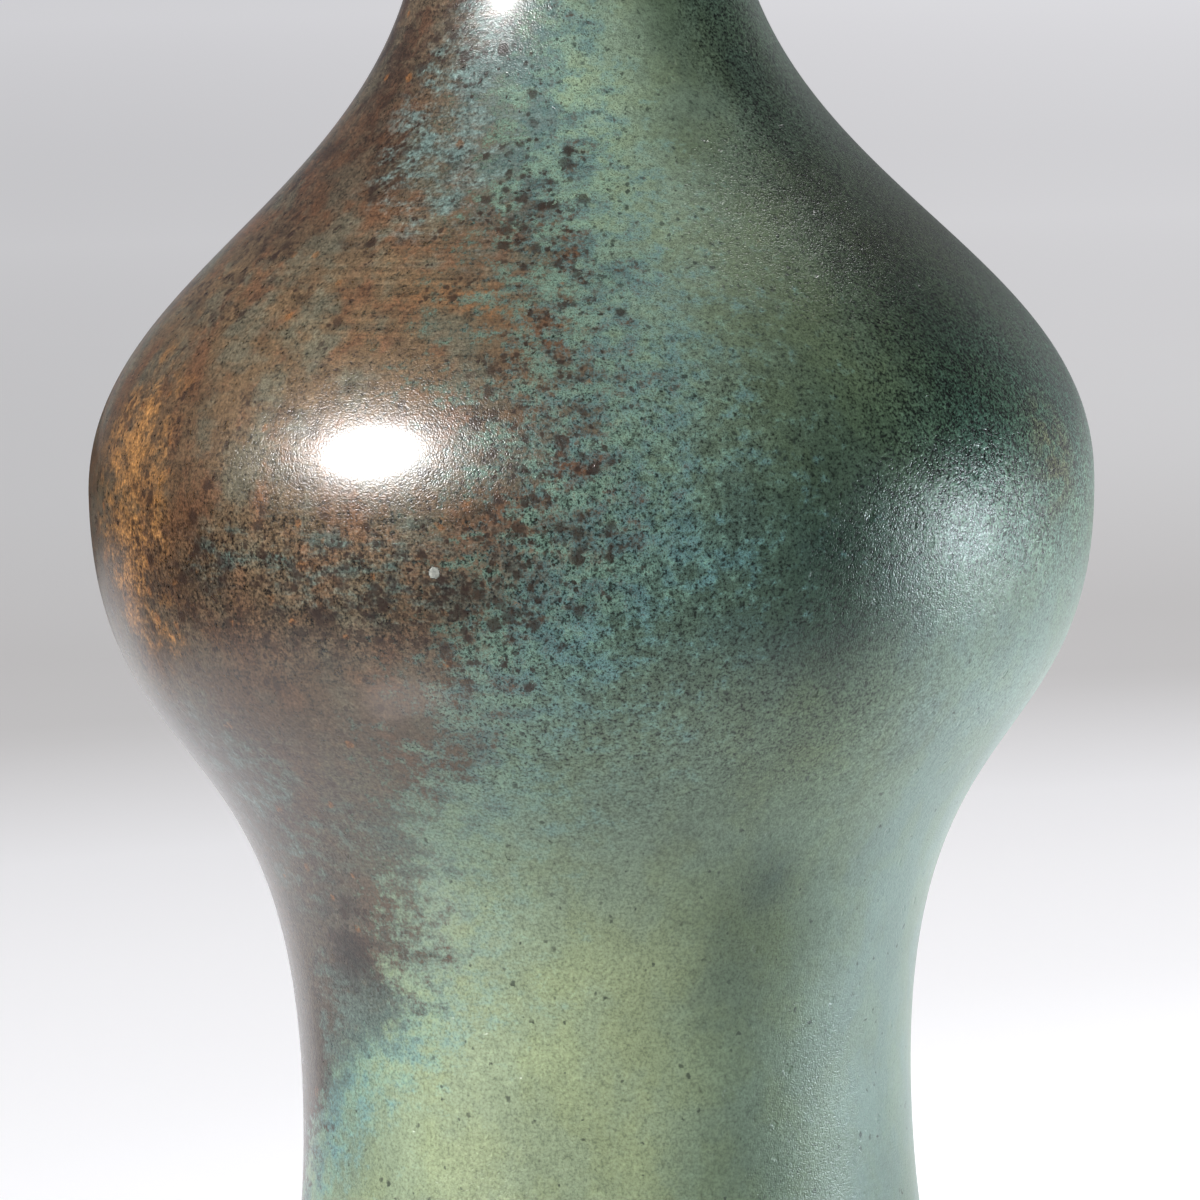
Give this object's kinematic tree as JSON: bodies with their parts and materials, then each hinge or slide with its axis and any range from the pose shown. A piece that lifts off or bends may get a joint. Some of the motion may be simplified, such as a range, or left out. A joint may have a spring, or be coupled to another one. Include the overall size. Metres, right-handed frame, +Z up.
{
  "type": "flower vase",
  "caption": "Turned copper flower vase with a flared foot, a waisted trunk, a full round belly and a narrow neck with an open mouth, brown and verdigris patina.",
  "frame": {"origin": "centre of the standing face under the foot ring", "axes": "+Z up along the turning axis; -Y is the side with the brown and blue-green border at its middle"},
  "size_m": [0.15, 0.15, 0.28],
  "materials": {
    "patina": "cast and turned copper alloy, brown and blue-green patina under a clear wax",
    "dark_copper": "plain turned copper alloy, darkened brown",
    "soft_solder": "dull grey soft solder",
    "brazing_metal": "yellow brazing metal as it flowed",
    "plug_metal": "pale alloy filed flush"
  },
  "bodies": {
    "root": {"foot_ring": "patina", "trunk": "patina", "shoulder": "patina", "neck_and_mouth": "patina", "bottom_plate": "dark_copper", "bottom_solder": "soft_solder", "foot_braze": "brazing_metal", "belly_braze": "brazing_metal", "neck_braze": "brazing_metal", "casting_plug": "plug_metal"}
  },
  "joints": []
}
